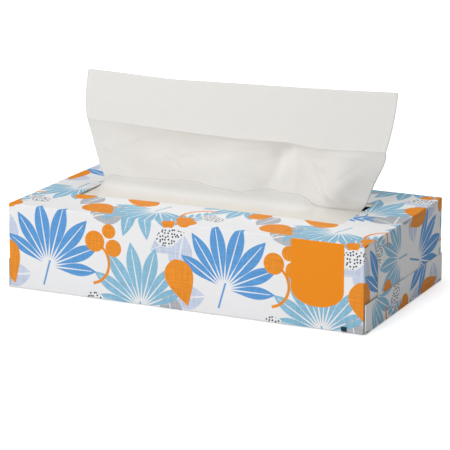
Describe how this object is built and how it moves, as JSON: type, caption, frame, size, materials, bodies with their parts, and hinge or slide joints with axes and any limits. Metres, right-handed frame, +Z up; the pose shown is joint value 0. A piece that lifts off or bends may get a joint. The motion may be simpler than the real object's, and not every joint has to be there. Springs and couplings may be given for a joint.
{
  "type": "tissue box",
  "caption": "Flat folded-board box of facial tissues with a slit film under its long top opening and one sheet standing in the slit.",
  "frame": {"origin": "middle of the box's underside, on the surface that it stands on", "axes": "+X along the box to the end that the picture shows, -Y out of the long front face, +Z up"},
  "size_m": [0.232, 0.126, 0.1227],
  "materials": {
    "printed_board": "printed, smooth",
    "film": "translucent",
    "tissue": "soft",
    "sheet": "soft"
  },
  "bodies": {
    "root": {"carton": "printed_board", "slit_film": "film", "tissue_stack": "tissue", "pulled_tissue": "sheet"}
  },
  "joints": []
}
